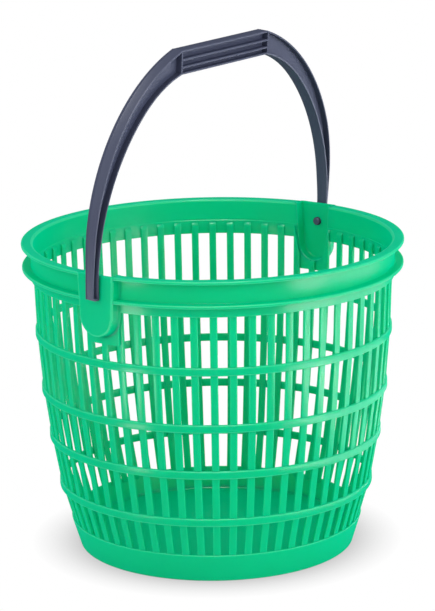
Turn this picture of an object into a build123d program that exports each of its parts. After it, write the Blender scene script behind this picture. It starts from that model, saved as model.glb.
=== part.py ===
from build123d import *
import math
import os

# Round slatted harvest basket with a swinging bow handle. Millimetres, +Z up.
# The origin is the centre of the foot on the ground, X runs through both handle pivots,
# and the open side of the handle's channel faces -Y.

# Rim, from the outer edge inwards
RIM_RADIUS = 145.0           # outer edge of the top flange
TOP_FLANGE_WIDTH = 7.0       # top flange, outside the collar
LOWER_FLANGE_WIDTH = 6.6     # lower flange, outside the collar
FLANGE_THICKNESS = 2.5
WALL_THICKNESS = 2.0         # skin of collar and foot
RIM_ROUND = 1.5              # inner edge of the rim
EDGE_ROUND = 0.8             # outer edges of flanges and hoops

# Heights
HEIGHT = 238.0               # ground to rim
LOWER_FLANGE_DROP = 17.8     # rim to the top of the lower flange
COLLAR_HEIGHT = 27.8         # rim to the top ends of the slots
FOOT_HEIGHT = 21.9           # solid band at the bottom
ROW_HEIGHTS = (25.0, 32.4, 30.5, 37.7)   # slots below each hoop, from the lowest row up
HOOP_HEIGHT = 6.1
FLOOR_LIFT = 2.8             # underside of the floor above the ground
FLOOR_THICKNESS = 2.2

# How far the slats draw in below the collar: at each hoop from the top down, then at the foot
HOOP_TAPERS = (1.4, 3.6, 5.0, 6.8)
FOOT_TAPER = 8.1
FOOT_DRAFT = 6.7             # the foot itself draws in this far towards the ground

# Slats and hoops
SLAT_COUNT = 60
SLAT_WIDTH = 5.5
SLAT_DEPTH = 2.2
SLAT_TOP_LAP = 10.0          # the upper ends run this far up inside the collar
SLAT_TOP_SLOPE = 2.6         # height of the sloped upper ends
SLAT_FOOT_LAP = 3.0          # the lower ends run this far down inside the foot
HOOP_PROUD = 1.2             # hoops stand out of the slats
HOOP_INSET = 1.0             # hoops are let into the slats
FOOT_PROUD = 1.0             # the foot's top edge stands out of the slats

# Handle lugs
LUG_WIDTH = 33.0             # at the rim
LUG_END_WIDTH = 29.4         # at the rounded lower end
LUG_DROP = 46.6              # rim to the rounded lower end
LUG_WALL = 2.0
LUG_PLATE = 2.4
LUG_ROUND = 1.8              # edges of the lug's face
APRON_DROP = 6.4             # solid wall below each lug

# Handle
PIVOT_DROP = 14.5            # rim to the pivot axis
HANDLE_LEAN = 3.7            # degrees from upright, towards -Y
HANDLE_DEPTH = 10.0
ARM_GAP = 0.6                # lug face to arm
ARM_THICKNESS = 4.7          # at the lower end
ARM_END = 3.2                # pivot axis to the arm's lower end
ARM_BACK_CUT = 0.8           # the arm's back draws in this far at the lower end
BACK_CUT_LOW = 12.0          # above the pivot axis
BACK_CUT_HIGH = 40.0
OUTER_SPLAY = 3.9            # degrees from upright at the lower end
OUTER_BEND_RADIUS = 403.0    # lower bend of the outer edge
OUTER_BEND_SWEEP = 6.0       # degrees
INNER_SPLAY = 6.8
INNER_BEND_RADIUS = 149.5    # lower bend of the inner edge
INNER_BEND_SWEEP = 54.8
GRIP_LENGTH = 107.8
GRIP_BOTTOM = 148.4          # above the pivot axis
GRIP_HEIGHT = 18.2
CHANNEL_SKIN = 1.4           # edges of the channel
CHANNEL_DEPTH = 4.6
CHANNEL_LOW_DEPTH = 7.4      # in the arms' lower ends
ARM_SETBACK = 2.0            # the arms' outer edges draw back this far at the lower ends
TAPER_LOW = 10.0             # above the pivot axis, where these two end
TAPER_HIGH = 75.0            # and where they start
EDGE_LAP = 0.25              # the cut of the outer edge runs this far past it
FIN_THICKNESS = 1.5
FIN_DROPS = (7.2, 12.9)      # grip top to the middle of each fin
STUD_RADIUS = 3.2
STUD_CLEARANCE = 0.1         # radial, in the lug's hole
STUD_REACH = 2.6             # past the lug plate, inside the basket
STUD_ROUND = 1.4

# Levels and radii that follow
COLLAR_RADIUS = RIM_RADIUS - TOP_FLANGE_WIDTH
COLLAR_INNER = COLLAR_RADIUS - WALL_THICKNESS
LOWER_FLANGE_RADIUS = COLLAR_RADIUS + LOWER_FLANGE_WIDTH
LOWER_FLANGE_TOP = HEIGHT - LOWER_FLANGE_DROP
SLOT_TOP = HEIGHT - COLLAR_HEIGHT
SLAT_TOP = SLOT_TOP + SLAT_TOP_LAP
PIVOT_Z = HEIGHT - PIVOT_DROP
GRIP_HALF = GRIP_LENGTH / 2
GRIP_TOP = GRIP_BOTTOM + GRIP_HEIGHT
ARM_INNER = RIM_RADIUS + ARM_GAP
ARM_OUTER = ARM_INNER + ARM_THICKNESS
CUT_MARGIN = 5.0             # cutting bodies run this far past what they cut


def hoop_levels():
    """Lower edge of each hoop, from the lowest up."""
    levels = []
    z = FOOT_HEIGHT
    for row in ROW_HEIGHTS:
        z += row
        levels.append(z)
        z += HOOP_HEIGHT
    return levels


def slat_line():
    """Points (z, radius) of the slats' outer line, from the foot's top to the slot tops."""
    points = [(SLOT_TOP, COLLAR_INNER)]
    radius = COLLAR_INNER
    for z, taper in zip(reversed(hoop_levels()), HOOP_TAPERS):
        radius -= taper
        points.append((z + HOOP_HEIGHT / 2, radius))
    points.append((FOOT_HEIGHT, radius - FOOT_TAPER))
    return points[::-1]


def slat_radius(z):
    """Outer radius of the slats at height z."""
    line = slat_line()
    for (z0, r0), (z1, r1) in zip(line, line[1:]):
        if z <= z1:
            return r0 + (r1 - r0) * (z - z0) / (z1 - z0)
    return COLLAR_INNER


def foot_radius(z):
    """Outer radius of the foot at height z."""
    top = slat_radius(FOOT_HEIGHT) + FOOT_PROUD
    return top - FOOT_DRAFT * (FOOT_HEIGHT - z) / FOOT_HEIGHT


def section(points):
    """Face in the half plane through the axis, from (radius, z) points."""
    return Plane.XZ * make_face(Polyline(*points, close=True))


def ring(points):
    """Full ring of a section."""
    return revolve(section(points), Axis.Z)


def flat_ring(inner, outer, z_low, z_high):
    """Ring of a rectangular section with rounded outer edges."""
    edge = EDGE_ROUND
    corner = edge * (1 - 2 ** -0.5)
    side = Polyline((outer - edge, z_high), (inner, z_high), (inner, z_low), (outer - edge, z_low))
    low = ThreePointArc(side @ 1, (outer - corner, z_low + corner), (outer, z_low + edge))
    front = Line(low @ 1, (outer, z_high - edge))
    high = ThreePointArc(front @ 1, (outer - corner, z_high - corner), side @ 0)
    return revolve(Plane.XZ * make_face([side, low, front, high]), Axis.Z)


def collar_ring():
    """Straight collar whose inner top edge is rounded."""
    edge = RIM_ROUND
    corner = edge * (1 - 2 ** -0.5)
    side = Polyline((COLLAR_INNER, HEIGHT - edge), (COLLAR_INNER, SLOT_TOP), (COLLAR_RADIUS, SLOT_TOP),
                    (COLLAR_RADIUS, HEIGHT), (COLLAR_INNER + edge, HEIGHT))
    rim = ThreePointArc(side @ 1, (COLLAR_INNER + corner, HEIGHT - corner), side @ 0)
    return revolve(Plane.XZ * make_face([side, rim]), Axis.Z)


def lug_outline(inset):
    """Outline of a lug seen along X: sides that run together onto a round lower end."""
    radius = LUG_END_WIDTH / 2
    round_z = HEIGHT - LUG_DROP + radius
    rise = HEIGHT - round_z
    way = math.atan2(rise, LUG_WIDTH / 2) - math.acos(radius / math.hypot(rise, LUG_WIDTH / 2))
    side = (radius * math.cos(way), round_z + radius * math.sin(way))
    top = HEIGHT + (CUT_MARGIN if inset else 0.0)
    half = side[0] + (LUG_WIDTH / 2 - side[0]) * (top - side[1]) / (HEIGHT - side[1])
    edge = Polyline((-side[0], side[1]), (-half, top), (half, top), side)
    bottom = ThreePointArc(side, (0, round_z - radius), (-side[0], side[1]))
    face = make_face([edge, bottom])
    return Plane.YZ * (offset(face, -inset) if inset else face)


def lug_prism(inset, x_low, x_high):
    """Body with a lug's outline between two X planes."""
    return Pos(x_low, 0, 0) * extrude(lug_outline(inset), x_high - x_low)


def on_both_sides(body):
    """The body and its half turn about the axis."""
    return [body, body.rotate(Axis.Z, 180)]


def without_lugs(body):
    """Body with the space of both lugs taken out."""
    depth_start = COLLAR_INNER - SLAT_DEPTH - CUT_MARGIN
    envelope = lug_prism(0.0, depth_start, RIM_RADIUS + CUT_MARGIN)
    for cutter in on_both_sides(envelope):
        body = body - cutter
    return body


def basket_void():
    """Space inside the wall that the lugs stay out of."""
    low = HEIGHT - LUG_DROP - CUT_MARGIN
    top = HEIGHT + CUT_MARGIN
    return ring([(0, low), (slat_radius(low), low), (COLLAR_INNER, SLOT_TOP),
                 (COLLAR_INNER, top), (0, top)])


def apron():
    """Piece of plain wall below the right-hand lug, outside the slats."""
    low = HEIGHT - LUG_DROP - APRON_DROP
    inner = slat_radius(low)
    skin = ring([(inner, low), (inner + WALL_THICKNESS, low),
                 (COLLAR_RADIUS, SLOT_TOP), (COLLAR_INNER, SLOT_TOP)])
    half = Pos(COLLAR_RADIUS, 0, HEIGHT / 2) * Box(COLLAR_RADIUS, LUG_END_WIDTH, HEIGHT)
    return without_lugs(skin & half)


def lug():
    """Right-hand lug: a pocket that bulges out to the rim, with the pivot hole, and its apron."""
    start = COLLAR_INNER - CUT_MARGIN
    shell = lug_prism(0.0, start, RIM_RADIUS)
    face_edges = shell.faces().sort_by(Axis.X)[-1].edges()
    shell = fillet(face_edges.sort_by(Axis.Z)[:-1], LUG_ROUND)
    shell -= lug_prism(LUG_WALL, start - CUT_MARGIN, RIM_RADIUS - LUG_PLATE)
    shell -= basket_void()
    hole = Cylinder(STUD_RADIUS + STUD_CLEARANCE, 4 * LUG_PLATE, rotation=(0, 90, 0))
    shell -= Pos(RIM_RADIUS, 0, PIVOT_Z) * hole
    return shell + apron()


def slat_section():
    """Slat in the plane through the axis: outer side up with its hoop notches, inner side down."""
    lap = FOOT_HEIGHT - SLAT_FOOT_LAP
    points = [(foot_radius(lap) - WALL_THICKNESS, lap),
              (foot_radius(FOOT_HEIGHT) - WALL_THICKNESS, FOOT_HEIGHT),
              (slat_radius(FOOT_HEIGHT), FOOT_HEIGHT)]
    for z in hoop_levels():
        seat = slat_radius(z + HOOP_HEIGHT / 2) - HOOP_INSET
        points += [(slat_radius(z), z), (seat, z),
                   (seat, z + HOOP_HEIGHT), (slat_radius(z + HOOP_HEIGHT), z + HOOP_HEIGHT)]
    points += [(COLLAR_INNER, SLOT_TOP), (COLLAR_INNER, SLAT_TOP),
               (COLLAR_INNER - SLAT_DEPTH, SLAT_TOP - SLAT_TOP_SLOPE)]
    inner = [(r - SLAT_DEPTH, z) for z, r in slat_line()]
    return points + inner[::-1]


def slat():
    """One slat on the +X side, with faces that follow the round wall."""
    swing = 10.0
    sweep = revolve(section(slat_section()), Axis.Z, 2 * swing).rotate(Axis.Z, -swing)
    bar = Pos(RIM_RADIUS / 2, 0, HEIGHT / 2) * Box(RIM_RADIUS, SLAT_WIDTH, HEIGHT)
    return sweep & bar


def slats(lugs):
    """All slats, those behind the lugs shortened and let into the aprons."""
    one = slat()
    bars = []
    for i in range(SLAT_COUNT):
        bar = one.rotate(Axis.Z, 360 * i / SLAT_COUNT)
        if abs(bar.center().Y) < LUG_WIDTH:
            bar = without_lugs(bar)
            for body in lugs:
                bar = bar - body
        bars += bar.solids()
    return Compound(children=bars)


def hoop(z):
    """Hoop whose lower edge is at height z."""
    middle = slat_radius(z + HOOP_HEIGHT / 2)
    return flat_ring(middle - HOOP_INSET, middle + HOOP_PROUD, z, z + HOOP_HEIGHT)


def foot_band():
    """Tapered solid band that the basket stands on."""
    base = foot_radius(0.0)
    top = foot_radius(FOOT_HEIGHT)
    return ring([(base - WALL_THICKNESS, 0), (base, 0),
                 (top, FOOT_HEIGHT), (top - WALL_THICKNESS, FOOT_HEIGHT)])


def floor_plate():
    """Plain floor set into the foot band."""
    low = FLOOR_LIFT
    high = FLOOR_LIFT + FLOOR_THICKNESS
    return ring([(0, low), (foot_radius(low) - WALL_THICKNESS, low),
                 (foot_radius(high) - WALL_THICKNESS, high), (0, high)])


def arm_face():
    """Side view of the right-hand arm about the pivot axis, X across and Z up."""
    low_outer = (ARM_OUTER, -ARM_END)
    low_inner = (ARM_INNER, -ARM_END)
    outer_low = JernArc(low_outer, Vector(0, 1).rotate(Axis.Z, -OUTER_SPLAY),
                        OUTER_BEND_RADIUS, OUTER_BEND_SWEEP)
    outer_top = TangentArc(outer_low @ 1, (GRIP_HALF, GRIP_TOP), tangent=outer_low % 1)
    end_wall = Line((GRIP_HALF, GRIP_TOP), (GRIP_HALF, GRIP_BOTTOM))
    inner_low = JernArc(low_inner, Vector(0, 1).rotate(Axis.Z, -INNER_SPLAY),
                        INNER_BEND_RADIUS, INNER_BEND_SWEEP)
    inner_top = TangentArc(inner_low @ 1, (GRIP_HALF, GRIP_BOTTOM), tangent=inner_low % 1)
    lower = Line(low_inner, low_outer)
    return make_face([outer_low, outer_top, end_wall, inner_top, inner_low, lower])


def back_cut():
    """Wedge that thins an arm's lower end from the back."""
    back = HANDLE_DEPTH / 2
    low = -ARM_END - CUT_MARGIN
    outline = Polyline((back - ARM_BACK_CUT, low), (back - ARM_BACK_CUT, BACK_CUT_LOW),
                       (back, BACK_CUT_HIGH), (back + CUT_MARGIN, BACK_CUT_HIGH),
                       (back + CUT_MARGIN, low), close=True)
    return extrude(Plane.YZ * make_face(outline), 2 * RIM_RADIUS)


def channel_space():
    """Space in front of the channel's web, which lies deeper in the lower part of the arm."""
    front = -HANDLE_DEPTH / 2
    low = -ARM_END - CUT_MARGIN
    top = GRIP_TOP + CUT_MARGIN
    outline = Polyline((front - CUT_MARGIN, low), (front - CUT_MARGIN, top), (front + CHANNEL_DEPTH, top),
                       (front + CHANNEL_DEPTH, TAPER_HIGH), (front + CHANNEL_LOW_DEPTH, TAPER_LOW),
                       (front + CHANNEL_LOW_DEPTH, low), close=True)
    return extrude(Plane.YZ * make_face(outline), 2 * RIM_RADIUS)


def setback_space():
    """Wedge in front of the arm's outer edge, from nothing down to the full setback."""
    front = -HANDLE_DEPTH / 2
    low = -ARM_END - CUT_MARGIN
    slope = (TAPER_HIGH - TAPER_LOW) / ARM_SETBACK
    outline = Polyline((front - CUT_MARGIN, low), (front - CUT_MARGIN, TAPER_HIGH + CUT_MARGIN * slope),
                       (front + ARM_SETBACK, TAPER_LOW), (front + ARM_SETBACK, low), close=True)
    return extrude(Plane.YZ * make_face(outline), 2 * RIM_RADIUS)


def arm():
    """Right-hand arm: a channel whose outer edge draws back towards the pivot."""
    face = arm_face()
    body = extrude(Plane.XZ * face, HANDLE_DEPTH / 2, both=True)
    hollow = offset(face, -CHANNEL_SKIN)
    channel = extrude(Plane.XZ * hollow, HANDLE_DEPTH, both=True)
    edge = extrude(Plane.XZ * (Pos(CHANNEL_SKIN + EDGE_LAP, 0) * hollow), HANDLE_DEPTH, both=True)
    body -= channel & channel_space()
    body -= edge & setback_space()
    return body - back_cut()


def grip():
    """Grip between the arms: the channel's web, its two edges and the fins between them."""
    face = Pos(0, GRIP_BOTTOM + GRIP_HEIGHT / 2) * Rectangle(GRIP_LENGTH, GRIP_HEIGHT)
    body = extrude(Plane.XZ * face, HANDLE_DEPTH / 2, both=True)
    edges = [CHANNEL_SKIN - FIN_THICKNESS / 2, *FIN_DROPS,
             GRIP_HEIGHT - CHANNEL_SKIN + FIN_THICKNESS / 2]
    for upper, lower in zip(edges, edges[1:]):
        height = lower - upper - FIN_THICKNESS
        middle = GRIP_TOP - (upper + lower) / 2
        web = HANDLE_DEPTH / 2 - CHANNEL_DEPTH
        groove = extrude(Plane.XZ * (Pos(0, middle) * Rectangle(GRIP_LENGTH, height)), HANDLE_DEPTH)
        body -= Pos(0, -web, 0) * groove
    return body


def stud():
    """Right-hand pivot stud from the arm through the lug plate, with a rounded end."""
    length = ARM_GAP + LUG_PLATE + STUD_REACH
    pin = Cylinder(STUD_RADIUS, length, rotation=(0, -90, 0))
    pin = fillet(pin.edges().sort_by(Axis.X)[0], STUD_ROUND)
    return Pos(ARM_INNER - length / 2, 0, 0) * pin


def hung(body):
    """Handle piece moved from the pivot axis to its place on the basket."""
    return Pos(0, 0, PIVOT_Z) * body.rotate(Axis.X, HANDLE_LEAN)


def build():
    """Every node by name."""
    lug_right, lug_left = on_both_sides(lug())
    nodes = {
        "floor_plate": floor_plate(),
        "foot_band": foot_band(),
        "wall_slats": slats([lug_right, lug_left]),
        "collar_band": without_lugs(collar_ring()),
        "lower_flange": without_lugs(flat_ring(COLLAR_RADIUS, LOWER_FLANGE_RADIUS,
                                               LOWER_FLANGE_TOP - FLANGE_THICKNESS, LOWER_FLANGE_TOP)),
        "top_flange": without_lugs(flat_ring(COLLAR_RADIUS, RIM_RADIUS, HEIGHT - FLANGE_THICKNESS, HEIGHT)),
        "lug_right": lug_right,
        "lug_left": lug_left,
        "handle_grip": hung(grip()),
        "handle_arm_right": hung(arm()),
        "handle_arm_left": hung(arm().mirror(Plane.YZ)),
        "pivot_stud_right": hung(stud()),
        "pivot_stud_left": hung(stud().mirror(Plane.YZ)),
    }
    for number, z in enumerate(hoop_levels(), start=1):
        nodes[f"hoop_{number}"] = hoop(z)
    return nodes


os.makedirs("parts", exist_ok=True)
for name, shape in build().items():
    export_step(shape, f"parts/{name}.step")
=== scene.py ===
import logging
from collections.abc import Sequence
from dataclasses import dataclass, field
from enum import Enum

import bmesh
import bpy
import numpy as np
from mathutils import Matrix


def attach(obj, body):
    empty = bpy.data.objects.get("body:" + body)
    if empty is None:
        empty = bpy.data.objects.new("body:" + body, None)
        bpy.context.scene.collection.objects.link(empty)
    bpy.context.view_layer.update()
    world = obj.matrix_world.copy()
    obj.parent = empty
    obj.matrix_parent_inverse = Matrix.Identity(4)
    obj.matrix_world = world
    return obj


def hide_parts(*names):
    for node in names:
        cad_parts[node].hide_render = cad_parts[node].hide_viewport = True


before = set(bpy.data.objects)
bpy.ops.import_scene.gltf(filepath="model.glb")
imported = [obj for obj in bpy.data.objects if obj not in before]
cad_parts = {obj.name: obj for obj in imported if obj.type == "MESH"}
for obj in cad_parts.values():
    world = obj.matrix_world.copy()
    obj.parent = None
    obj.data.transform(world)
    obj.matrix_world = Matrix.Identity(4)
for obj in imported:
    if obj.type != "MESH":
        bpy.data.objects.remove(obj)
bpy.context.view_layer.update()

LOG = logging.getLogger("mushroom_basket")

# Metres in a millimetre, the smallest radius in millimetres, and the distances in metres below which
# points are joined and an edge counts as having no length
MM = 0.001
FINEST = 0.05
WELD = 0.002 * MM
SLIVER = 0.001 * MM

# Points of an arc of the handle's bow, and a pixel as a share of the picture's height
ARC_POINTS = 400
PIXEL = 1 / 611

# Face attribute that holds the strength of the painted highlight on rounded edges
EDGE_HIGHLIGHT_MASK = "edge_highlight_mask"


class Side(Enum):
    """The two ends of the pivot axis."""

    RIGHT = 1
    LEFT = -1


class Body(Enum):
    """The two bodies that the handle joint joins."""

    BASKET = "basket"
    HANDLE = "handle"


# Outlines and grids


def rounded(corners: Sequence[tuple[float, float]], radii: Sequence[float],
            steps: int = 4) -> np.ndarray:
    """Closed outline with an arc in place of each corner.

    With unit directions a and b from a corner p to its neighbours and the angle t between them, the
    arc's centre is p + (a + b) / |a + b| * r / sin(t / 2). It runs between the points r / tan(t / 2)
    along a and along b, turned evenly about that centre.

    Args:
        corners: the outline's corners in order.
        radii: one radius for each corner. Those below FINEST count as FINEST.
        steps: divisions of each arc.

    Returns:
        Points of the outline, one row each.
    """
    p = np.array(corners, float)
    r = np.maximum(np.array(radii, float), FINEST)[:, None]
    a = np.roll(p, 1, axis=0) - p
    b = np.roll(p, -1, axis=0) - p
    a /= np.linalg.norm(a, axis=1, keepdims=True)
    b /= np.linalg.norm(b, axis=1, keepdims=True)
    half = 0.5 * np.arccos(np.clip(np.sum(a * b, axis=1, keepdims=True), -1, 1))
    middle = (a + b) / np.linalg.norm(a + b, axis=1, keepdims=True)
    centre = p + middle * r / np.sin(half)
    first = p + a * r / np.tan(half) - centre
    last = p + b * r / np.tan(half) - centre
    sweep = (np.pi - 2 * half)[:, None]
    k = np.linspace(0, 1, steps + 1)[None, :, None]
    turned_arc = np.sin((1 - k) * sweep) * first[:, None] + np.sin(k * sweep) * last[:, None]
    return (centre[:, None] + turned_arc / np.sin(sweep)).reshape(-1, 2)


def turned(outline: np.ndarray, shares: np.ndarray, cut: np.ndarray | None = None) -> np.ndarray:
    """Grid of an outline (radius, height) turned about the upright axis.

    A point goes to (r cos a, r sin a, z). Without a cut a is the share of a full turn. With cuts
    the turn is the half on the +Y side, and each point's turn starts and ends at y = cut, so a runs
    from asin(cut / r) to pi - asin(cut / r).

    Args:
        outline: points (radius, height).
        shares: how far along the turn each row of the grid is, from 0 to 1.
        cut: distance from the pivot plane at which each point's half turn ends, if it is a half turn.

    Returns:
        Grid of points, rows along the turn.
    """
    r, z = outline.T
    if cut is not None:
        start = np.arcsin(cut / r)
        angle = start + shares[:, None] * (np.pi - 2 * start)
    else:
        angle = 2 * np.pi * shares[:, None] + np.zeros_like(r)
    return np.stack([r * np.cos(angle), r * np.sin(angle), z + np.zeros_like(angle)], axis=-1)


def round_turn(count: int) -> np.ndarray:
    """Shares of a full turn that doesn't repeat its first row."""
    return np.arange(count) / count


def smooth_step(x: np.ndarray, low: float, high: float) -> np.ndarray:
    """0 below low, 1 above high, and t * t * (3 - 2 t) between them."""
    t = np.clip((x - low) / (high - low), 0, 1)
    return t * t * (3 - 2 * t)


def mesh_data(items: bpy.types.bpy_prop_collection, name: str, width: int = 1,
              kind: type = float) -> np.ndarray:
    """Reads one property of all vertices, edges, loops or faces of a mesh.

    Args:
        items: the mesh's collection.
        name: the property.
        width: values that each item has.
        kind: type of a value.

    Returns:
        One value, or one row of values, for each item.
    """
    values = np.empty(len(items) * width, kind)
    items.foreach_get(name, values)
    return values if width == 1 else values.reshape(-1, width)


def placed(name: str, data: bpy.types.ID) -> bpy.types.Object:
    """Makes an object at the origin and links it into the scene."""
    made = bpy.data.objects.new(name, data)
    bpy.context.scene.collection.objects.link(made)
    return made


def set_pose(made: bpy.types.Object, axes: Sequence[np.ndarray], at: Sequence[float]) -> None:
    """Puts an object at a point, with its X, Y and Z along three unit vectors."""
    turn = np.eye(4)
    turn[:3, :3] = np.stack(axes, axis=1)
    turn[:3, 3] = at
    made.matrix_world = Matrix(turn.tolist())


class Moulding:
    """Collects grids and polygons in millimetres and makes them one closed mesh."""

    def __init__(self, name: str) -> None:
        """Starts an empty moulding with the piece's name."""
        self.name = name
        self.points: list[np.ndarray] = []
        self.faces: list[list[int]] = []
        self.count = 0

    def _place(self, points: np.ndarray) -> int:
        """Adds points and returns the number of the first one."""
        first = self.count
        self.points.append(points.reshape(-1, 3))
        self.count += len(self.points[-1])
        return first

    def grid(self, points: np.ndarray, close_rows: bool = False, close_cols: bool = False) -> None:
        """Adds quads between neighbours on a grid of points.

        Args:
            points: grid of shape (rows, columns, 3).
            close_rows: joins the last row to the first.
            close_cols: joins the last column to the first.
        """
        rows, cols = points.shape[:2]
        number = self._place(points) + np.arange(rows * cols).reshape(rows, cols)
        if close_rows:
            number = np.concatenate([number, number[:1]])
        if close_cols:
            number = np.concatenate([number, number[:, :1]], axis=1)
        quads = np.stack([number[:-1, :-1], number[:-1, 1:], number[1:, 1:], number[1:, :-1]], axis=-1)
        self.faces += quads.reshape(-1, 4).tolist()

    def polygon(self, points: np.ndarray) -> None:
        """Adds one flat polygon with these corners."""
        first = self._place(points)
        self.faces.append(list(range(first, first + len(points))))

    def ring(self, outline: np.ndarray, count: int = 240) -> None:
        """Adds a full ring of a closed outline (radius, height)."""
        self.grid(turned(outline, round_turn(count)), close_rows=True, close_cols=True)

    def capped(self, points: np.ndarray) -> None:
        """Adds a bar: sections in rows, each a closed loop, with a polygon on each end."""
        self.grid(points, close_cols=True)
        self.polygon(points[0])
        self.polygon(points[-1])

    @staticmethod
    def mark_edge_highlights(mesh: bpy.types.Mesh, value: float, least: float = 15.0, most: float = 35.0,
                   width: float = 0.8) -> None:
        """Marks the narrow faces of rounded outer edges with the strength of a painted highlight in a
        face attribute, others with 0.

        Two faces that share an edge turn by acos(n1 . n2). The edge is an outer one if n1 . (c2 - c1)
        is below 0, with unit normals n and centres c. A face with such an edge, turned by more than
        least and less than most, is part of a rounding if its area is below width times half the
        distance round it.

        Args:
            mesh: closed mesh that gets the attribute.
            value: strength of the painted highlight that a marked face gets.
            least: smallest turn in degrees.
            most: largest turn in degrees.
            width: of the widest face that is marked, in millimetres.
        """
        edge = mesh_data(mesh.loops, "edge_index", kind=int)
        normal, centre = (mesh_data(mesh.polygons, name, 3) for name in ("normal", "center"))
        span = mesh_data(mesh.vertices, "co", 3)[mesh_data(mesh.edges, "vertices", 2, int)]
        length = np.linalg.norm(span[:, 1] - span[:, 0], axis=1)
        face = np.repeat(np.arange(len(normal)), mesh_data(mesh.polygons, "loop_total", kind=int))
        area = mesh_data(mesh.polygons, "area")
        narrow = area < 0.5 * width * MM * np.bincount(face, length[edge])
        order = np.argsort(edge, kind="stable")
        paired = np.bincount(edge)[edge[order]] == 2
        one, two = face[order][paired].reshape(-1, 2).T
        turn = np.degrees(np.arccos(np.clip(np.sum(normal[one] * normal[two], axis=1), -1, 1)))
        outer = np.sum(normal[one] * (centre[two] - centre[one]), axis=1) < 0
        found = outer & (turn > least) & (turn < most)
        mark = np.zeros(len(area))
        mark[one[found]] = mark[two[found]] = value
        mesh.attributes.new(EDGE_HIGHLIGHT_MASK, "FLOAT", "FACE").data.foreach_set("value", mark * narrow)

    def make(self, body: Body, finish: "Finish", *nodes: str, sharp: float = 35.0,
             highlight_share: float = 1.0) -> None:
        """Makes the mesh, welds and orients it, and puts it in place of its CAD nodes.

        Args:
            body: the body that the piece moves with.
            finish: the material that it wears.
            nodes: CAD nodes that it stands for.
            sharp: edges that turn more than this, in degrees, stay sharp.
            highlight_share: how much its rounded edges take of the finish's painted edge highlight.
        """
        mesh = bpy.data.meshes.new(self.name)
        mesh.from_pydata((np.concatenate(self.points) * MM).tolist(), [], self.faces)
        work = bmesh.new()
        work.from_mesh(mesh)
        bmesh.ops.remove_doubles(work, verts=work.verts, dist=WELD)
        bmesh.ops.dissolve_degenerate(work, edges=work.edges, dist=SLIVER)
        bmesh.ops.recalc_face_normals(work, faces=work.faces)
        work.to_mesh(mesh)
        work.free()
        self.mark_edge_highlights(mesh, highlight_share)
        mesh.shade_smooth()
        mesh.set_sharp_from_angle(angle=np.radians(sharp))
        piece = placed(self.name, mesh)
        mesh.materials.append(finish.material())
        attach(piece, body.value)
        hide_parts(*nodes)
        LOG.info("%s: %d faces for %s", self.name, len(mesh.polygons), ", ".join(nodes))


# Finishes


class Shader:
    """A node tree with short calls for adding and joining nodes."""

    def __init__(self, tree: bpy.types.NodeTree) -> None:
        """Wraps the tree of a material, a world or a group."""
        self.tree = tree

    def node(self, kind: str, **inputs: object) -> bpy.types.Node:
        """Adds a node and fills its sockets.

        Args:
            kind: Blender's type name of the node.
            inputs: values or sockets for the node's inputs, with _ for a space in their names.

        Returns:
            The new node.
        """
        made = self.tree.nodes.new(kind)
        for name, value in inputs.items():
            self.feed(made.inputs[name.replace("_", " ")], value)
        return made

    def feed(self, socket: bpy.types.NodeSocket, value: object) -> None:
        """Links a socket into an input, or sets the input to a value."""
        if isinstance(value, bpy.types.NodeSocket):
            self.tree.links.new(value, socket)
        else:
            socket.default_value = value

    def math(self, operation: str, *values: object) -> bpy.types.NodeSocket:
        """Adds a Math node on two or three values or sockets and returns its output."""
        made = self.tree.nodes.new("ShaderNodeMath")
        made.operation = operation
        for socket, value in zip(made.inputs, values):
            self.feed(socket, value)
        return made.outputs[0]


@dataclass(frozen=True)
class MouldGrain:
    """Surface of a plastic moulding: fine orange peel, flow clouds, sparse scuffs, and rounded edges
    made paler by a painted highlight.
    """

    name: str = "mould_grain"
    peel_scale: float = 900.0
    cloud_scale: float = 14.0
    scuff_scale: float = 60.0
    # How much lighter and how much less saturated rounded edges get: a painted highlight
    edge_highlight: float = 0.40
    edge_highlight_fade: float = 0.18

    def group(self) -> bpy.types.NodeTree:
        """The shader group, built on first use.

        Returns:
            A node group with inputs for strengths and outputs for a height, a roughness and a colour.
        """
        found = bpy.data.node_groups.get(self.name)
        if found:
            return found
        tree = bpy.data.node_groups.new(self.name, "ShaderNodeTree")
        for way, names in (("INPUT", ("Color", "Shade", "Roughness", "Unevenness", "Edges")),
                           ("OUTPUT", ("Color", "Roughness", "Height"))):
            for name in names:
                kind = "NodeSocketColor" if name == "Color" else "NodeSocketFloat"
                tree.interface.new_socket(name, in_out=way, socket_type=kind)
        shader = Shader(tree)
        given = shader.node("NodeGroupInput")
        place = shader.node("ShaderNodeTexCoord").outputs["Object"]
        cloud = shader.node("ShaderNodeTexNoise", Vector=place, Scale=self.cloud_scale, Detail=2.0)
        peel = shader.node("ShaderNodeTexNoise", Vector=place, Scale=self.peel_scale, Detail=1.0)
        scuff = shader.node("ShaderNodeTexNoise", Vector=place, Scale=self.scuff_scale, Detail=6.0)
        flow = shader.math("SUBTRACT", cloud.outputs[0], 0.5)
        light = shader.math("MULTIPLY_ADD", flow, given.outputs["Shade"], 1.0)
        # Painted highlight: the rounded-edge mask lightens and desaturates the colour where the gloss
        # would catch the lamps
        edge = shader.node("ShaderNodeAttribute")
        edge.attribute_name = EDGE_HIGHLIGHT_MASK
        painted_highlight = shader.math("MULTIPLY", edge.outputs["Fac"], given.outputs["Edges"])
        lifted = shader.math("MULTIPLY_ADD", painted_highlight, self.edge_highlight, light)
        full = shader.math("MULTIPLY_ADD", painted_highlight, -self.edge_highlight_fade, 1.0)
        tint = shader.node("ShaderNodeHueSaturation", Color=given.outputs["Color"], Value=lifted,
                           Saturation=full)
        rubbed = shader.math("SUBTRACT", scuff.outputs[0], 0.5)
        rough = shader.math("MULTIPLY_ADD", rubbed, given.outputs["Unevenness"],
                            given.outputs["Roughness"])
        put = shader.node("NodeGroupOutput")
        shader.feed(put.inputs["Color"], tint.outputs[0])
        shader.feed(put.inputs["Roughness"], rough)
        shader.feed(put.inputs["Height"], peel.outputs[0])
        return tree


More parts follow.
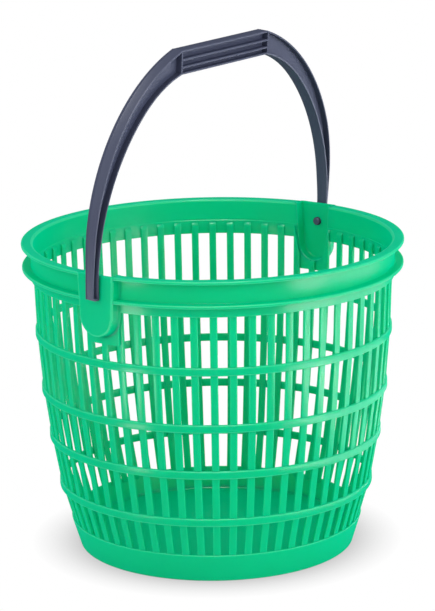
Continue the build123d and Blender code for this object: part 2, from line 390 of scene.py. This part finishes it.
@dataclass(frozen=True)
class Finish:
    """A moulded plastic: its colour, gloss, grain and painted highlight on rounded edges.

    The gloss is a weak coat. The depth glow is the share of light that enters the plastic and comes out
    a little way off.
    """

    name: str
    slot: str
    color: tuple[float, float, float]
    roughness: float
    gloss: float
    depth_glow: float
    shade: float
    unevenness: float
    peel: float
    # Strength of the painted highlight on rounded edges
    edges: float
    gloss_ior: float = 3.0
    glow_radius: tuple[float, float, float] = (0.3, 1.0, 0.7)
    glow_scale: float = 4 * MM
    peel_depth: float = 0.05 * MM
    grain: MouldGrain = field(default_factory=MouldGrain)

    def material(self) -> bpy.types.Material:
        """The material, built on first use.

        Returns:
            A Principled material whose colour, roughness and bump come from the grain group.
        """
        found = bpy.data.materials.get(self.name)
        if found:
            return found
        made = bpy.data.materials.new(self.name)
        made.use_nodes = True
        shader = Shader(made.node_tree)
        surface = made.node_tree.nodes["Principled BSDF"]
        grain = shader.node("ShaderNodeGroup")
        grain.node_tree = self.grain.group()
        for name, value in (("Color", (*self.color, 1.0)), ("Shade", self.shade),
                            ("Roughness", self.roughness), ("Unevenness", self.unevenness),
                            ("Edges", self.edges)):
            shader.feed(grain.inputs[name], value)
        bump = shader.node("ShaderNodeBump", Height=grain.outputs["Height"], Strength=self.peel,
                           Distance=self.peel_depth)
        shader.feed(surface.inputs["Base Color"], grain.outputs["Color"])
        shader.feed(surface.inputs["Roughness"], grain.outputs["Roughness"])
        shader.feed(surface.inputs["Normal"], bump.outputs[0])
        for name, value in (("Specular IOR Level", 0.0), ("Coat Weight", self.gloss),
                            ("Coat IOR", self.gloss_ior), ("Coat Roughness", self.roughness),
                            ("Subsurface Weight", self.depth_glow),
                            ("Subsurface Radius", self.glow_radius),
                            ("Subsurface Scale", self.glow_scale)):
            shader.feed(surface.inputs[name], value)
        return made


# edges: strength of each finish's painted highlight on rounded edges
GREEN = Finish("green_moulding", "green_plastic", color=(0.0, 0.56, 0.258), roughness=0.22, gloss=0.029,
               depth_glow=0.7, shade=0.10, unevenness=0.10, peel=0.25, edges=0.22)
GREY = Finish("anthracite_moulding", "grey_plastic", color=(0.060, 0.070, 0.120), roughness=0.42,
              gloss=0.05, depth_glow=0.0, shade=0.10, unevenness=0.15, peel=0.15, edges=0.6)


# Basket, in millimetres


@dataclass(frozen=True)
class BasketSizes:
    """Sizes in millimetres that several pieces of the basket share."""

    rim_radius: float = 145.0
    collar_radius: float = 138.0
    collar_inner: float = 136.0
    height: float = 238.0
    slot_top: float = 210.2
    foot_height: float = 21.9
    slat_depth: float = 2.2
    hoop_height: float = 6.1
    hoop_levels: tuple[float, ...] = (46.9, 85.4, 122.0, 165.8)
    line_levels: tuple[float, ...] = (21.9, 49.95, 88.45, 125.05, 168.85, 210.2)
    line_radii: tuple[float, ...] = (111.1, 119.2, 126.0, 131.0, 134.6, 136.0)
    lug_half_width: float = 16.5
    lug_radius: float = 14.7
    lug_round_z: float = 206.1
    apron_low: float = 185.0
    pivot_z: float = 223.5

    def slat_radius(self, z: np.ndarray) -> np.ndarray:
        """Outer radius of the slats at heights z, on straight lines between the given levels."""
        return np.interp(z, self.line_levels, self.line_radii)

    def wall_radius(self, z: np.ndarray) -> np.ndarray:
        """Outer radius of the apron below the slot tops and of the collar above them."""
        return self.slat_radius(z) + self.collar_radius - self.collar_inner

    def lug_way(self) -> float:
        """Angle at which a lug's straight side, drawn from the rim, touches the round lower end.

        The side is a tangent from (half width, rise) to a circle of the end's radius about 0, so the
        angle is atan2(rise, half width) - acos(radius / distance).

        Returns:
            The angle in radians, 0 along +Y.
        """
        rise = self.height - self.lug_round_z
        return float(np.arctan2(rise, self.lug_half_width)
                     - np.arccos(self.lug_radius / np.hypot(rise, self.lug_half_width)))

    def lug_half(self, z: np.ndarray) -> np.ndarray:
        """Half the lug's width at heights z on its straight sides."""
        way = self.lug_way()
        return (self.lug_radius - (z - self.lug_round_z) * np.sin(way)) / np.cos(way)


@dataclass
class Foot:
    """The solid band that the basket stands on, and the floor in it."""

    sizes: BasketSizes
    base_radius: float = 105.4
    top_radius: float = 112.1
    wall: float = 2.0
    band_edges: tuple[float, ...] = (0.4, 0.8, 0.6, 0.4)
    floor_low: float = 2.8
    floor_high: float = 5.0
    floor_edge: float = 0.2
    floor_cove: float = 2.6
    cove_round: float = 0.8
    cove_half: float = 0.3
    floor_border: float = 4.0
    floor_rings: int = 10
    arc_steps: int = 5

    def radius(self, z: float) -> float:
        """Outer radius of the band at height z."""
        return self.base_radius + (self.top_radius - self.base_radius) * z / self.sizes.foot_height

    def build_band(self) -> None:
        """A tapered band: its section, with soft edges, turned about the axis."""
        top = self.sizes.foot_height
        outline = rounded([(self.base_radius - self.wall, 0), (self.base_radius, 0),
                           (self.top_radius, top), (self.top_radius - self.wall, top)],
                          self.band_edges)
        band = Moulding("moulded_foot_band")
        band.ring(outline)
        band.make(Body.BASKET, GREEN, "foot_band")

    def build_floor(self) -> None:
        """A disc with a cove up to the band: half its section, turned about the axis."""
        low, high, half = self.floor_low, self.floor_high, self.cove_half
        top = high + self.floor_cove
        edge = self.radius(high) - self.wall
        outline = rounded([(FINEST, low), (edge, low), (edge + 2 * half, top), (edge + half, top),
                           (edge - half, high), (FINEST, high)],
                          (0, self.floor_edge, 0, 0, self.floor_cove * self.cove_round, 0),
                          self.arc_steps)
        rings = np.linspace(0, 1, self.floor_rings + 2)[1:-1]
        inner = np.stack([FINEST + (edge - self.floor_border) * rings, np.full_like(rings, high)],
                         axis=1)
        last = len(outline) - self.arc_steps - 1
        outline = np.concatenate([outline[:last], inner[::-1], outline[last:]])
        disc = Moulding("moulded_floor_plate")
        disc.ring(outline)
        disc.make(Body.BASKET, GREEN, "floor_plate")


@dataclass
class SlatWall:
    """The slats and the hoops that tie them."""

    sizes: BasketSizes
    count: int = 60
    width: float = 5.5
    edge: float = 0.6
    rows: tuple[float, ...] = (18.9, 21.9, 36, 49.95, 69, 88.45, 107, 125.05, 147, 168.85, 174)
    upper_rows: tuple[float, ...] = (0.35, 0.75, 0.95, 1.0, 1.0)
    top: float = 220.2
    top_slope: float = 2.6
    top_bevel: float = 0.5
    lug_lap: float = 1.0
    # Share of the finish's painted edge highlight that the slats' rounded edges take
    highlight_share: float = 0.2
    hoop_proud: float = 1.2
    hoop_inset: float = 1.0
    hoop_edge: float = 0.9
    hoop_inner_edge: float = 0.3

    def slat_tops(self, y: np.ndarray, depth: np.ndarray) -> np.ndarray:
        """Height of the slats' upper ends: sloped inwards, or on the lug's round where one is.

        Args:
            y: distance from the pivot plane.
            depth: distance behind the slats' outer face.

        Returns:
            The height at each point.
        """
        sizes = self.sizes
        free = self.top - self.top_slope * depth / sizes.slat_depth
        reach = sizes.lug_radius
        on_round = sizes.lug_round_z - np.sqrt(np.maximum(reach ** 2 - y ** 2, 0)) + self.lug_lap
        return np.where(np.abs(y) < reach, np.minimum(free, on_round), free)

    def build_slats(self) -> None:
        """Every slat: a rounded section carried up the slat line, then turned to its place.

        The lower rows lie at given heights, the upper ones at shares of the way from the last of these
        to the slat's end. The end's last row shrinks towards the section's middle, as a bevel. A slat
        counts as beyond the lugs if it is nearer the Y axis than the X axis.
        """
        sizes = self.sizes
        half = self.width / 2
        section = rounded([(-half, 0), (half, 0), (half, sizes.slat_depth), (-half, sizes.slat_depth)],
                          [self.edge] * 4, steps=3)
        across, depth = section.T
        middle = sizes.slat_depth / 2
        fixed, shares = np.array(self.rows), np.array(self.upper_rows)
        shrink = np.ones((len(fixed) + len(shares), 1))
        shrink[-1] -= self.top_bevel / middle
        wide = 1 - (1 - shrink) * middle / half
        u = (across * wide)[None]
        d = (middle + (depth - middle) * shrink)[None]
        angle = 2 * np.pi * round_turn(self.count)[:, None, None]
        c, s = np.cos(angle), np.sin(angle)
        y = np.where(np.abs(c) > np.abs(s), sizes.collar_inner * s + u * c, np.inf)
        tops = self.slat_tops(y, d + np.zeros_like(y))
        upper = fixed[-1] + (tops[:, len(fixed):] - fixed[-1]) * shares[None, :, None]
        upper[:, -2] -= self.top_bevel
        lower = np.broadcast_to(fixed[None, :, None], (self.count, len(fixed), len(section)))
        z = np.concatenate([lower, upper], axis=1)
        r = sizes.slat_radius(z) - d
        bars = np.stack([r * c - u * s, r * s + u * c, z], axis=-1)
        wall = Moulding("moulded_wall_slats")
        for bar in bars:
            wall.capped(bar)
        wall.make(Body.BASKET, GREEN, "wall_slats", highlight_share=self.highlight_share)

    def build_hoops(self) -> None:
        """Each hoop: a rounded rectangle turned about the axis."""
        sizes = self.sizes
        for number, z in enumerate(sizes.hoop_levels, start=1):
            middle = float(sizes.slat_radius(z + sizes.hoop_height / 2))
            inner, outer = middle - self.hoop_inset, middle + self.hoop_proud
            outline = rounded([(inner, z), (outer, z), (outer, z + sizes.hoop_height),
                               (inner, z + sizes.hoop_height)],
                              (self.hoop_inner_edge, self.hoop_edge,
                               self.hoop_edge, self.hoop_inner_edge))
            hoop = Moulding(f"moulded_hoop_{number}")
            hoop.ring(outline)
            hoop.make(Body.BASKET, GREEN, f"hoop_{number}")


@dataclass
class Rim:
    """The collar with its two flanges, in two halves between the lugs."""

    sizes: BasketSizes
    top_flange: float = 145.0
    lower_flange: float = 144.6
    lower_top: float = 220.2
    thickness: float = 2.5
    step_z: float = 221.2
    step: float = 0.4
    edges: tuple[float, ...] = (0.3, 0.5, 0.8, 0.9, 0.9, 0.8, 0.8, 0.9, 0.9, 1.8, 0.2, 0.2)
    end_lap: float = 0.9
    divisions: int = 120

    def build(self) -> None:
        """One section with both flanges, turned from lug to lug and closed at its ends."""
        s = self.sizes
        top, low = s.height, self.lower_top
        outline = rounded(
            [(s.collar_inner - self.step, s.slot_top), (s.collar_radius, s.slot_top),
             (s.collar_radius, low - self.thickness), (self.lower_flange, low - self.thickness),
             (self.lower_flange, low), (s.collar_radius, low),
             (s.collar_radius, top - self.thickness), (self.top_flange, top - self.thickness),
             (self.top_flange, top), (s.collar_inner, top),
             (s.collar_inner, self.step_z), (s.collar_inner - self.step, self.step_z - self.step)],
            self.edges)
        half = turned(outline, np.linspace(0, 1, self.divisions + 1),
                      s.lug_half(outline[:, 1]) - self.end_lap)
        rim = Moulding("moulded_rim")
        rim.capped(half)
        rim.capped(half * np.array([1, -1, 1]))
        rim.make(Body.BASKET, GREEN, "collar_band", "lower_flange", "top_flange")


@dataclass
class Lug:
    """A pocket that bulges from the rim and holds one end of the handle, with its apron."""

    sizes: BasketSizes
    side: Side
    wall: float = 2.0
    plate: float = 2.4
    edge: float = 1.8
    flare: float = 1.6
    pocket_edge: float = 1.0
    pocket_cove: float = 1.2
    hole_radius: float = 3.3
    sink: float = 0.7
    arc_steps: int = 6
    round_steps: int = 36
    side_steps: int = 8
    top_steps: int = 12
    plate_rings: int = 3
    apron_turn: tuple[float, float] = (1.02 * np.pi, 1.98 * np.pi)
    apron_rays: int = 45
    apron_steps: int = 5
    apron_lap: float = 1.0
    apron_sink: float = 0.2

    def path(self) -> tuple[np.ndarray, np.ndarray]:
        """The lug's edge and its outward directions, down one side, round and up the other.

        Returns:
            Points (y, z) and unit directions (y, z) along the edge.
        """
        s = self.sizes
        way = s.lug_way()
        bend = np.linspace(np.pi - way, 2 * np.pi + way, self.round_steps + 1)
        turn = np.stack([np.cos(bend), np.sin(bend)], axis=1)
        round_end = np.array([0, s.lug_round_z]) + s.lug_radius * turn
        share = np.linspace(0, 1, self.side_steps + 1)[:-1, None]
        left = np.array([-s.lug_half_width, s.height]) * (1 - share) + round_end[0] * share
        right = (left * np.array([-1, 1]))[::-1]
        along = np.ones_like(left)
        return (np.concatenate([left, round_end, right]),
                np.concatenate([along * turn[0], turn, along * turn[-1]]))

    def sheet(self, inset: np.ndarray, x: np.ndarray) -> np.ndarray:
        """Grid whose rows follow the edge and whose columns are insets from it at given X.

        A point is the edge's point less inset times its outward direction, and no higher than the rim.

        Args:
            inset: how far each column lies inside the edge.
            x: X of each point, or of each column.

        Returns:
            Grid of points.
        """
        edge, way = self.path()
        flat = edge[:, None] - inset[None, :, None] * way[:, None]
        y, z = flat[..., 0], np.minimum(flat[..., 1], self.sizes.height)
        return np.stack([x + 0 * y, y, z], axis=-1)

    def on_wall(self, inset: np.ndarray, outer: bool) -> np.ndarray:
        """X of the basket's wall at the sheet's points: sqrt(r(z)^2 - y^2)."""
        flat = self.sheet(inset, np.zeros_like(inset))
        y, z = flat[..., 1], flat[..., 2]
        radius = self.sizes.wall_radius(z) if outer else self.sizes.slat_radius(z)
        return np.sqrt(radius ** 2 - y ** 2)

    def build(self) -> None:
        """The shell in strips that share their border points, and the apron.

        The outer strip goes over a rounded edge, down the wall and out over a flare. The pocket strip
        comes back over a rounded mouth, up the wall and over a cove. Polar grids about the hole fill
        both faces of the plate. All strips are welded where they meet.
        """
        s = self.sizes
        face, floor = s.rim_radius, s.rim_radius - self.plate
        t = np.linspace(0, np.pi / 2, self.arc_steps + 1)
        out_inset = np.concatenate([self.edge * (1 - np.sin(t)), -self.flare * (1 - np.cos(t)),
                                    [-self.flare]])
        base = self.on_wall(out_inset, outer=True)
        lift = np.concatenate([self.flare * (1 - np.sin(t)), [-self.sink]])
        drop = np.broadcast_to(face - self.edge * (1 - np.cos(t)), (len(base), len(t)))
        outer = self.sheet(out_inset, np.concatenate([drop, base[:, len(t):] + lift], axis=1))
        in_inset = np.concatenate([[self.wall - self.pocket_edge],
                                   self.wall - self.pocket_edge * (1 - np.sin(t)),
                                   self.wall + self.pocket_cove * (1 - np.cos(t))])
        mouth = self.on_wall(in_inset, outer=False)
        rise = np.concatenate([[0.0], self.pocket_edge * (1 - np.cos(t))])
        back = np.broadcast_to(floor - self.pocket_cove * (1 - np.sin(t)), (len(mouth), len(t)))
        pocket = self.sheet(in_inset, np.concatenate([mouth[:, :len(rise)] + rise, back], axis=1))
        lug = Moulding(f"moulded_lug_{self.side.name.lower()}")
        turn = np.array([self.side.value, self.side.value, 1])
        lug.grid(outer * turn)
        lug.grid(pocket * turn)
        lug.grid(np.stack([outer[:, -1], pocket[:, 0]], axis=1) * turn)
        rings = []
        for border in (outer[:, 0], pocket[:, -1]):
            top = np.linspace(border[-1], border[0], self.top_steps + 1)[1:-1]
            loop = np.concatenate([border, top])
            way = loop[:, 1:] - np.array([0, s.pivot_z])
            way *= self.hole_radius / np.linalg.norm(way, axis=1, keepdims=True)
            hole = np.stack([loop[:, 0], way[:, 0], s.pivot_z + way[:, 1]], axis=1)
            share = np.linspace(0, 1, self.plate_rings + 1)[:, None, None]
            lug.grid((hole + share * (loop - hole)) * turn, close_cols=True)
            rings.append((hole, top))
        lug.grid(np.stack([rings[0][0], rings[1][0]]) * turn, close_cols=True)
        lug.polygon(np.concatenate([outer[0, ::-1], rings[0][1][::-1], outer[-1], pocket[-1],
                                    rings[1][1], pocket[0, ::-1]]) * turn)
        self.add_apron(lug, turn)
        lug.make(Body.BASKET, GREEN, f"lug_{self.side.name.lower()}")

    def add_apron(self, lug: Moulding, turn: np.ndarray) -> None:
        """Plain wall between the lug's round end and a straight lower edge.

        Rays from the round's centre run from just inside the lug to the apron's straight sides: a point
        at angle a lies at min(half width / |cos a|, depth / |sin a|) on its outer end.

        Args:
            lug: the moulding to add to.
            turn: signs that put the apron on this side.
        """
        s = self.sizes
        a = np.linspace(*self.apron_turn, self.apron_rays)
        reach = s.lug_radius
        far = np.minimum(reach / np.abs(np.cos(a)), (s.lug_round_z - s.apron_low) / np.abs(np.sin(a)))
        near = np.full_like(a, reach - self.apron_lap)
        share = np.linspace(0, 1, self.apron_steps + 1)
        length = near[:, None] + (far - near)[:, None] * share
        y = length * np.cos(a)[:, None]
        z = s.lug_round_z + length * np.sin(a)[:, None]
        inner, outer = s.slat_radius(z) - self.apron_sink, s.wall_radius(z)
        front = np.stack([np.sqrt(outer ** 2 - y ** 2), y, z], axis=-1)
        rear = np.stack([np.sqrt(inner ** 2 - y ** 2), y, z], axis=-1)
        lug.capped(np.concatenate([front, rear[:, ::-1]], axis=1) * turn)


# Handle, in millimetres and degrees


@dataclass(frozen=True)
class Hanging:
    """Where the handle hangs: the pivot axis and the lean of the upright bow."""

    pivot_z: float = 223.5
    lean: float = 3.7

    def place(self, points: np.ndarray) -> np.ndarray:
        """Turns points about the X axis by the lean and lifts them to the pivot axis."""
        c, s = np.cos(np.radians(self.lean)), np.sin(np.radians(self.lean))
        x, y, z = np.moveaxis(points, -1, 0)
        return np.stack([x, y * c - z * s, y * s + z * c + self.pivot_z], axis=-1)


@dataclass(frozen=True)
class BowEdge:
    """One edge of the bow: an arc from the pivot end, then an arc tangent to it up to the grip."""

    start: tuple[float, float]
    splay: float
    radius: float
    sweep: float
    end: tuple[float, float]

    def points(self, shares: np.ndarray) -> np.ndarray:
        """Points at shares of the edge's length.

        The first arc is p + r (n - cos a n + sin a t) for direction t and left normal n. The second
        has the radius |q|^2 / (2 q n) for the way q that is left to the end.

        Args:
            shares: lengths along the edge, from 0 to 1.

        Returns:
            Points (x, z) about the pivot axis.
        """
        p = np.array(self.start)
        way = np.radians(90 - self.splay)
        first = self._arc(p, way, self.radius, np.radians(self.sweep))
        left = np.array(self.end) - first[-1]
        way += np.radians(self.sweep)
        normal = np.array([-np.sin(way), np.cos(way)])
        radius = left @ left / (2 * left @ normal)
        sweep = 2 * np.arcsin(np.linalg.norm(left) / (2 * radius))
        line = np.concatenate([first, self._arc(first[-1], way, radius, sweep)[1:]])
        run = np.concatenate([[0], np.cumsum(np.linalg.norm(np.diff(line, axis=0), axis=1))])
        return np.stack([np.interp(shares * run[-1], run, line[:, i]) for i in (0, 1)], axis=1)

    @staticmethod
    def _arc(p: np.ndarray, way: float, radius: float, sweep: float) -> np.ndarray:
        """Points of an arc to the left from p, with the direction way at its start."""
        a = way + np.linspace(0, sweep, ARC_POINTS)[:, None]
        centre = p + radius * np.array([-np.sin(way), np.cos(way)])
        return centre + radius * np.concatenate([np.sin(a), -np.cos(a)], axis=1)


@dataclass
class Handle:
    """The bow: a grip with fins, two channelled arms and their pivot studs."""

    hanging: Hanging = field(default_factory=Hanging)
    outer: BowEdge = BowEdge((150.3, -3.2), 3.9, 403.0, 6.0, (53.9, 166.6))
    inner: BowEdge = BowEdge((145.6, -3.2), 6.8, 149.5, 54.8, (53.9, 148.4))
    depth: float = 10.0
    skin: float = 1.4
    channel: float = 4.6
    channel_low: float = 7.4
    setback: float = 2.0
    taper_low: float = 10.0
    taper_high: float = 75.0
    arm_length: float = 178.0
    seam: float = 0.16
    seam_y: float = 2.4
    back_cut: float = 0.8
    cut_low: float = 12.0
    cut_high: float = 40.0
    edge: float = 0.45
    edge_round: tuple[tuple[float, float], ...] = ((0, 1), (0.13, 0.5), (0.5, 0.13), (1, 0))
    lip_edge: float = 0.3
    lip_most: float = 0.42
    hair: float = 0.01
    rows: int = 90
    row_gap: float = 0.004
    row_least: float = 1e-5
    grip_half: float = 53.9
    grip_low: float = 148.4
    grip_high: float = 166.6
    fin: float = 1.5
    fin_drops: tuple[float, ...] = (7.2, 12.9)
    grip_back_edge: float = 1.0
    grip_front_edge: float = 0.5
    groove_edge: float = 0.3
    grip_rows: int = 9
    stud_radius: float = 3.2
    stud_start: float = 145.9
    stud_end: float = 140.0
    stud_round: float = 1.4
    stud_edge: float = 0.2
    stud_sides: int = 40

    def arm_grid(self) -> np.ndarray:
        """Sections of the right-hand arm along the bow, about the pivot axis.

        A section spans from the outer edge to the inner edge of the bow. Its front is cut by a channel
        between two end walls. With t falling evenly from 1 at the taper's lower height to 0 at its upper
        one, the outer lip's front draws back by setback * t between the walls, and the channel gets
        deeper with t. The four outer corners are rounded by edge times the given points of a quarter
        round. A fine mould seam runs along the outer face. Columns keep a hair's distance where a
        section has no channel.

        Returns:
            Grid of points, rows along the arm and columns round the section.
        """
        wall = self.skin / self.arm_length
        shares = np.linspace(0, 1, self.rows)
        shares = shares[(shares > wall + self.row_gap) & (shares < 1 - wall - self.row_gap)]
        start = wall + self.row_least
        shares = np.concatenate([[0, wall, start], shares, [1 - start, 1 - wall, 1]])
        opened = (shares > wall) & (shares < 1 - wall)
        a, b = self.outer.points(shares), self.inner.points(shares)
        width = np.linalg.norm(b - a, axis=1)
        z = (a[:, 1] + b[:, 1]) / 2
        taper = 1 - np.clip((z - self.taper_low) / (self.taper_high - self.taper_low), 0, 1)
        back = self.depth / 2 - self.back_cut * (1 - smooth_step(z, self.cut_low, self.cut_high))
        inner = np.full_like(z, -self.depth / 2)
        outer = inner + self.setback * taper * opened
        channel = self.channel + (self.channel_low - self.channel) * taper
        floor = np.where(opened, inner + channel, outer + 2 * self.hair) - self.hair
        lip = np.minimum(self.skin, width * self.lip_most)
        bevel = self.lip_edge * self.edge
        soft = self.hair + bevel * opened
        zero = np.zeros_like(z)
        bend = self.edge * np.array(self.edge_round)
        corners = [*((zero + u, outer + v) for u, v in bend),
                   (lip - bevel, outer), (lip, outer + soft), (lip, floor),
                   (width - lip, floor), (width - lip, inner + soft), (width - lip + bevel, inner),
                   *((width - u, inner + v) for u, v in bend[::-1]),
                   *((width - u, back - v) for u, v in bend),
                   *((zero + u, back - v) for u, v in bend[::-1]),
                   (zero, zero + self.seam_y + 2 * self.seam), (zero - self.seam, zero + self.seam_y),
                   (zero, zero + self.seam_y - 2 * self.seam)]
        across, y = (np.stack(column, axis=1) for column in zip(*corners))
        way = (b - a) / width[:, None]
        x = a[:, :1] + way[:, :1] * across
        up = a[:, 1:] + way[:, 1:] * across
        return np.stack([x, y, up], axis=-1)

    def build_arms(self) -> None:
        """The right-hand arm and its mirror image."""
        grid = self.arm_grid()
        for side in Side:
            arm = Moulding(f"moulded_arm_{side.name.lower()}")
            arm.capped(self.hanging.place(grid * np.array([side.value, 1, 1])))
            arm.make(Body.HANDLE, GREY, f"handle_arm_{side.name.lower()}")

    def build_grip(self) -> None:
        """The grip: a section with grooves between its fins, carried along X."""
        front, back = -self.depth / 2, self.depth / 2
        floor = front + self.channel
        edges = [self.skin - self.fin / 2, *self.fin_drops,
                 self.grip_high - self.grip_low - self.skin + self.fin / 2]
        corners = [(self.grip_high, back), (self.grip_high, front)]
        radii = [self.grip_back_edge, self.grip_front_edge]
        for upper, lower in zip(edges, edges[1:]):
            high = self.grip_high - upper - self.fin / 2
            low = self.grip_high - lower + self.fin / 2
            corners += [(high, front), (high, floor), (low, floor), (low, front)]
            radii += [self.groove_edge] * 4
        corners += [(self.grip_low, front), (self.grip_low, back)]
        radii += [self.grip_front_edge, self.grip_back_edge]
        section = rounded(corners, radii, steps=3)
        x = np.linspace(-self.grip_half, self.grip_half, self.grip_rows)[:, None]
        points = np.stack([x + 0 * section[:, 0], section[:, 1] + 0 * x, section[:, 0] + 0 * x], axis=-1)
        grip = Moulding("moulded_grip")
        grip.capped(self.hanging.place(points))
        grip.make(Body.HANDLE, GREY, "handle_grip")

    def build_studs(self) -> None:
        """Each stud: a pin with a rounded end, turned about the pivot axis."""
        outline = rounded([(FINEST, self.stud_start), (self.stud_radius, self.stud_start),
                           (self.stud_radius, self.stud_end), (FINEST, self.stud_end)],
                          (0, self.stud_edge, self.stud_round, 0), steps=6)
        pin = turned(outline, round_turn(self.stud_sides))[..., [2, 0, 1]]
        for side in Side:
            stud = Moulding(f"moulded_stud_{side.name.lower()}")
            stud.grid(self.hanging.place(pin * np.array([side.value, 1, 1])), close_rows=True,
                      close_cols=True)
            stud.make(Body.HANDLE, GREY, f"pivot_stud_{side.name.lower()}")


# Studio


@dataclass(frozen=True)
class Softbox:
    """An even lamp panel.

    Its place, and the way it faces, are given to the camera's right, towards the camera and up, from
    the middle of the basket's foot, in metres. A panel for gloss only is seen in reflections and lights
    no matte surface.
    """

    name: str
    at: tuple[float, float, float]
    faces: tuple[float, float, float]
    size: tuple[float, float]
    radiance: float
    gloss_only: bool = False

    def power(self) -> float:
        """Watts that give the panel its radiance: pi times area times radiance."""
        return float(np.pi * self.size[0] * self.size[1] * self.radiance)


@dataclass
class Studio:
    """Floor, white backdrop, soft lamps and the camera."""

    camera_at: tuple[float, float, float] = (-1.7474, -1.2742, 0.7311)
    forward: tuple[float, float, float] = (0.7842, 0.5700, -0.2450)
    upward: tuple[float, float, float] = (0.20695, 0.13195, 0.96941)
    lens: float = 172.48
    sensor: float = 36.0
    sight: float = 100.0
    shift: tuple[float, float] = (-0.3 * PIXEL, -0.3 * PIXEL)
    horizon: float = 0.95
    zenith: float = 0.52
    floor_half: float = 6.0
    paper: float = 0.8
    shadow_reach: float = 0.036
    shadow_depth: float = 0.62
    shadow_samples: int = 16
    lamps: tuple[Softbox, ...] = (
        Softbox("key", (-1.2, 1.3, 1.0), (1.2, -1.3, -0.85), (1.2, 1.2), 1.9),
        Softbox("fill", (1.5, 0.9, 0.8), (-1.5, -0.9, -0.65), (1.2, 1.2), 3.0),
        Softbox("overhead", (0.0, 0.65, 1.6), (0.0, -0.4, -1.0), (0.8, 0.8), 36.0, True),
        Softbox("left_bounce", (-0.410, 0.382, 0.004), (0, 0, 1), (0.12, 0.32), 26.0, True),
        Softbox("right_front", (0.72, 0.42, 0.004), (0, 0, 1), (0.36, 0.80), 22.0, True),
        Softbox("right_bounce", (0.70, -0.12, 0.004), (0, 0, 1), (0.68, 0.90), 14.0, True),
    )

    def axes(self) -> tuple[np.ndarray, np.ndarray, np.ndarray]:
        """The camera's right, up and backward unit vectors."""
        back = -np.array(self.forward) / np.linalg.norm(self.forward)
        right = np.cross(self.upward, back)
        right /= np.linalg.norm(right)
        return right, np.cross(back, right), back

    def build_camera(self) -> None:
        """The camera at the photo's place, with its lens and small shift."""
        data = bpy.data.cameras.new("camera")
        data.lens = self.lens
        data.sensor_width = self.sensor
        data.shift_x, data.shift_y = self.shift
        data.clip_end = self.sight
        camera = placed("camera", data)
        set_pose(camera, self.axes(), self.camera_at)
        bpy.context.scene.camera = camera

    def build_lamps(self) -> None:
        """The lamp panels, each with its length along the way to the basket or upright."""
        right, _, back = self.axes()
        right = np.array([right[0], right[1], 0]) / np.hypot(right[0], right[1])
        toward = np.array([back[0], back[1], 0]) / np.hypot(back[0], back[1])
        world = np.stack([right, toward, [0, 0, 1]])
        for box in self.lamps:
            data = bpy.data.lights.new(box.name, "AREA")
            data.shape = "RECTANGLE"
            data.size, data.size_y = box.size
            data.energy = box.power()
            lamp = placed(box.name, data)
            lamp.visible_camera = False
            lamp.visible_diffuse = not box.gloss_only
            at = np.array(box.at) @ world
            rear = -np.array(box.faces) @ world
            rear /= np.linalg.norm(rear)
            lies_flat = abs(rear[2]) > 0.99
            length = np.array([at[0], at[1], 0]) if lies_flat else np.array([0, 0, 1])
            side = np.cross(length, rear)
            side /= np.linalg.norm(side)
            set_pose(lamp, (side, np.cross(rear, side), rear), at)

    @staticmethod
    def seen(shader: Shader) -> bpy.types.NodeSocket:
        """1 for rays that show the background: from the camera, a reflection or through a surface."""
        path = shader.node("ShaderNodeLightPath")
        direct = shader.math("MAXIMUM", path.outputs["Is Camera Ray"], path.outputs["Is Glossy Ray"])
        return shader.math("MAXIMUM", direct, path.outputs["Is Transmission Ray"])

    def build_world(self) -> None:
        """Light from all round that falls off overhead, and white where a ray looks past the floor.

        The light's strength is horizon + (zenith - horizon) * max(0, height of the direction).
        """
        world = bpy.data.worlds.new("studio")
        world.use_nodes = True
        shader = Shader(world.node_tree)
        light = world.node_tree.nodes["Background"]
        light.inputs["Color"].default_value = (1, 1, 1, 1)
        direction = shader.node("ShaderNodeTexCoord").outputs["Generated"]
        way = shader.node("ShaderNodeSeparateXYZ", Vector=direction)
        height = shader.math("MAXIMUM", way.outputs["Z"], 0.0)
        soft = shader.math("MULTIPLY_ADD", height, self.zenith - self.horizon, self.horizon)
        shader.feed(light.inputs["Strength"], shader.math("MAXIMUM", soft, self.seen(shader)))
        bpy.context.scene.world = world

    def build_floor(self) -> None:
        """A pale floor: paper that lights the basket, seen as white with a soft shadow where it stands.

        Seen brightness is 1 - depth * (1 - openness), where openness is the share of the directions
        above a point that nothing nearer than the shadow's reach blocks.
        """
        h = self.floor_half
        mesh = bpy.data.meshes.new("studio_floor")
        mesh.from_pydata([(-h, -h, 0), (h, -h, 0), (h, h, 0), (-h, h, 0)], [], [(0, 1, 2, 3)])
        floor = placed("studio_floor", mesh)
        made = bpy.data.materials.new("studio_floor")
        made.use_nodes = True
        shader = Shader(made.node_tree)
        nodes = made.node_tree.nodes
        nodes.remove(nodes["Principled BSDF"])
        paper = shader.node("ShaderNodeBsdfDiffuse", Color=(self.paper, self.paper, self.paper, 1))
        openness = shader.node("ShaderNodeAmbientOcclusion", Distance=self.shadow_reach)
        openness.samples = self.shadow_samples
        bright = shader.math("MULTIPLY_ADD", openness.outputs["AO"], self.shadow_depth,
                             1.0 - self.shadow_depth)
        glow = shader.node("ShaderNodeEmission", Strength=bright)
        both = shader.node("ShaderNodeMixShader", Fac=self.seen(shader))
        shader.feed(both.inputs[1], paper.outputs[0])
        shader.feed(both.inputs[2], glow.outputs[0])
        shader.feed(nodes["Material Output"].inputs["Surface"], both.outputs[0])
        mesh.materials.append(made)

    def build(self) -> None:
        """Everything round the basket."""
        self.build_camera()
        self.build_lamps()
        self.build_world()
        self.build_floor()
        bpy.context.scene.view_settings.view_transform = "Standard"


def main() -> None:
    """Builds the studio, the basket and the handle."""
    logging.basicConfig(level=logging.INFO, format="%(message)s")
    Studio().build()
    sizes = BasketSizes()
    foot = Foot(sizes)
    foot.build_band()
    foot.build_floor()
    wall = SlatWall(sizes)
    wall.build_slats()
    wall.build_hoops()
    Rim(sizes).build()
    for side in Side:
        Lug(sizes, side).build()
    handle = Handle()
    handle.build_arms()
    handle.build_grip()
    handle.build_studs()


if __name__ == "__main__":
    main()
